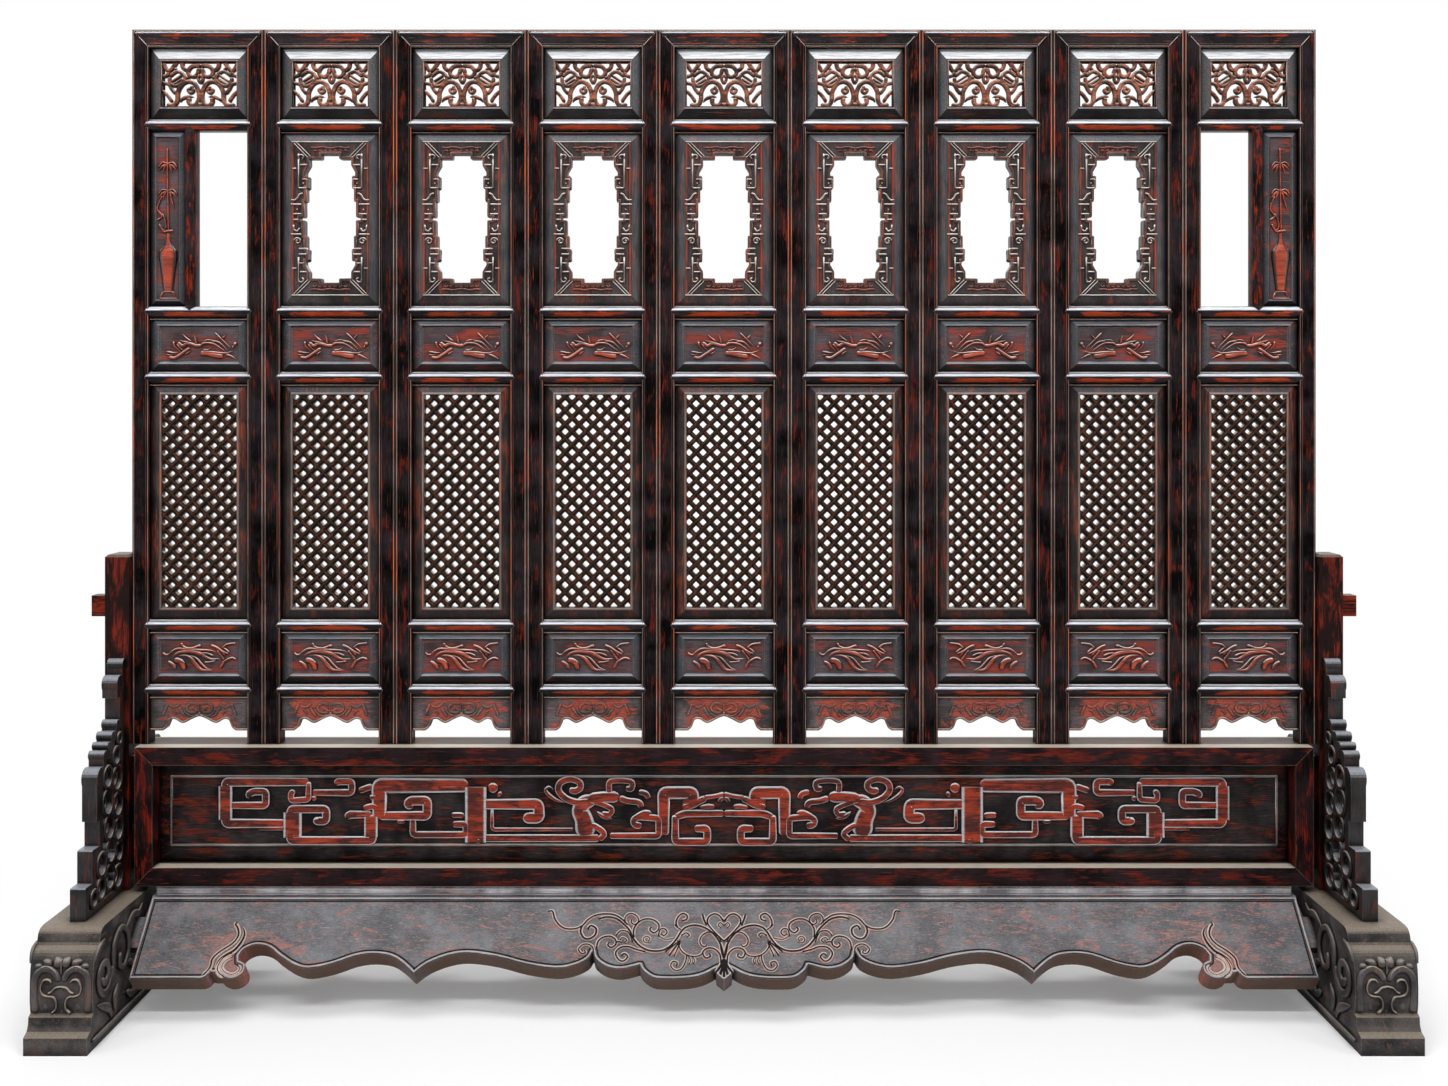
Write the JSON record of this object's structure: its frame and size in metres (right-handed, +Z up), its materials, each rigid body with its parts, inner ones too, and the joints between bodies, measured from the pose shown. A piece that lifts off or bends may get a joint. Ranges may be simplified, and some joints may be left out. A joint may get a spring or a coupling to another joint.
{
  "type": "standing hall screen",
  "caption": "Wide free-standing carved wooden screen: tall framed leaves with lattice and pierced panels lift out of a low stand on two long feet.",
  "frame": {"origin": "middle of the footprint, on the floor", "axes": "+Z up, +X along the row of leaves to the viewer's right, -Y towards the viewer in front"},
  "size_m": [3.164, 0.823, 2.407],
  "materials": {
    "dark_lacquer": "blue-black lacquer on carved wood, worn through to red along edges and high spots",
    "worn_red_lacquer": "red lacquer showing through rubbed black lacquer on rounded rails and carved grounds",
    "weathered_lacquer": "dusty grey-black lacquer, dull and weathered, with red-brown wood in the hollows"
  },
  "bodies": {
    "stand": {"left_foot": "weathered_lacquer", "right_foot": "weathered_lacquer", "left_post": "dark_lacquer", "right_post": "dark_lacquer", "left_front_bracket": "dark_lacquer", "left_back_bracket": "dark_lacquer", "right_front_bracket": "dark_lacquer", "right_back_bracket": "dark_lacquer", "frame_top_rail": "dark_lacquer", "frame_bottom_rail": "dark_lacquer", "frame_left_stile": "dark_lacquer", "frame_right_stile": "dark_lacquer", "frame_panel": "dark_lacquer", "front_apron": "weathered_lacquer", "back_apron": "weathered_lacquer"},
    "left_key": {"left_key": "worn_red_lacquer"},
    "right_key": {"right_key": "worn_red_lacquer"},
    "leaf_1": {"leaf_1_stiles": "dark_lacquer", "leaf_1_rails": "worn_red_lacquer", "leaf_1_panels": "worn_red_lacquer", "leaf_1_lattice": "dark_lacquer"},
    "leaf_2": {"leaf_2_stiles": "dark_lacquer", "leaf_2_rails": "worn_red_lacquer", "leaf_2_panels": "worn_red_lacquer", "leaf_2_lattice": "dark_lacquer", "leaf_2_medallion": "dark_lacquer"},
    "leaf_3": {"leaf_3_stiles": "dark_lacquer", "leaf_3_rails": "worn_red_lacquer", "leaf_3_panels": "worn_red_lacquer", "leaf_3_lattice": "dark_lacquer", "leaf_3_medallion": "dark_lacquer"},
    "leaf_4": {"leaf_4_stiles": "dark_lacquer", "leaf_4_rails": "worn_red_lacquer", "leaf_4_panels": "worn_red_lacquer", "leaf_4_lattice": "dark_lacquer", "leaf_4_medallion": "dark_lacquer"},
    "leaf_5": {"leaf_5_stiles": "dark_lacquer", "leaf_5_rails": "worn_red_lacquer", "leaf_5_panels": "worn_red_lacquer", "leaf_5_lattice": "dark_lacquer", "leaf_5_medallion": "dark_lacquer"},
    "leaf_6": {"leaf_6_stiles": "dark_lacquer", "leaf_6_rails": "worn_red_lacquer", "leaf_6_panels": "worn_red_lacquer", "leaf_6_lattice": "dark_lacquer", "leaf_6_medallion": "dark_lacquer"},
    "leaf_7": {"leaf_7_stiles": "dark_lacquer", "leaf_7_rails": "worn_red_lacquer", "leaf_7_panels": "worn_red_lacquer", "leaf_7_lattice": "dark_lacquer", "leaf_7_medallion": "dark_lacquer"},
    "leaf_8": {"leaf_8_stiles": "dark_lacquer", "leaf_8_rails": "worn_red_lacquer", "leaf_8_panels": "worn_red_lacquer", "leaf_8_lattice": "dark_lacquer", "leaf_8_medallion": "dark_lacquer"},
    "leaf_9": {"leaf_9_stiles": "dark_lacquer", "leaf_9_rails": "worn_red_lacquer", "leaf_9_panels": "worn_red_lacquer", "leaf_9_lattice": "dark_lacquer"}
  },
  "joints": [
    {"name": "leaf_1_lift", "type": "slide", "parent": "stand", "child": "leaf_1", "axis": [0, 0, 1], "range_m": [0, 0.05]},
    {"name": "leaf_2_lift", "type": "slide", "parent": "stand", "child": "leaf_2", "axis": [0, 0, 1], "range_m": [0, 0.05]},
    {"name": "leaf_3_lift", "type": "slide", "parent": "stand", "child": "leaf_3", "axis": [0, 0, 1], "range_m": [0, 0.05]},
    {"name": "leaf_4_lift", "type": "slide", "parent": "stand", "child": "leaf_4", "axis": [0, 0, 1], "range_m": [0, 0.05]},
    {"name": "leaf_5_lift", "type": "slide", "parent": "stand", "child": "leaf_5", "axis": [0, 0, 1], "range_m": [0, 0.05]},
    {"name": "leaf_6_lift", "type": "slide", "parent": "stand", "child": "leaf_6", "axis": [0, 0, 1], "range_m": [0, 0.05]},
    {"name": "leaf_7_lift", "type": "slide", "parent": "stand", "child": "leaf_7", "axis": [0, 0, 1], "range_m": [0, 0.05]},
    {"name": "leaf_8_lift", "type": "slide", "parent": "stand", "child": "leaf_8", "axis": [0, 0, 1], "range_m": [0, 0.05]},
    {"name": "leaf_9_lift", "type": "slide", "parent": "stand", "child": "leaf_9", "axis": [0, 0, 1], "range_m": [0, 0.05]},
    {"name": "left_key_draw", "type": "slide", "parent": "stand", "child": "left_key", "axis": [-1, 0, 0], "range_m": [0, 0.09]},
    {"name": "right_key_draw", "type": "slide", "parent": "stand", "child": "right_key", "axis": [1, 0, 0], "range_m": [0, 0.09]}
  ]
}
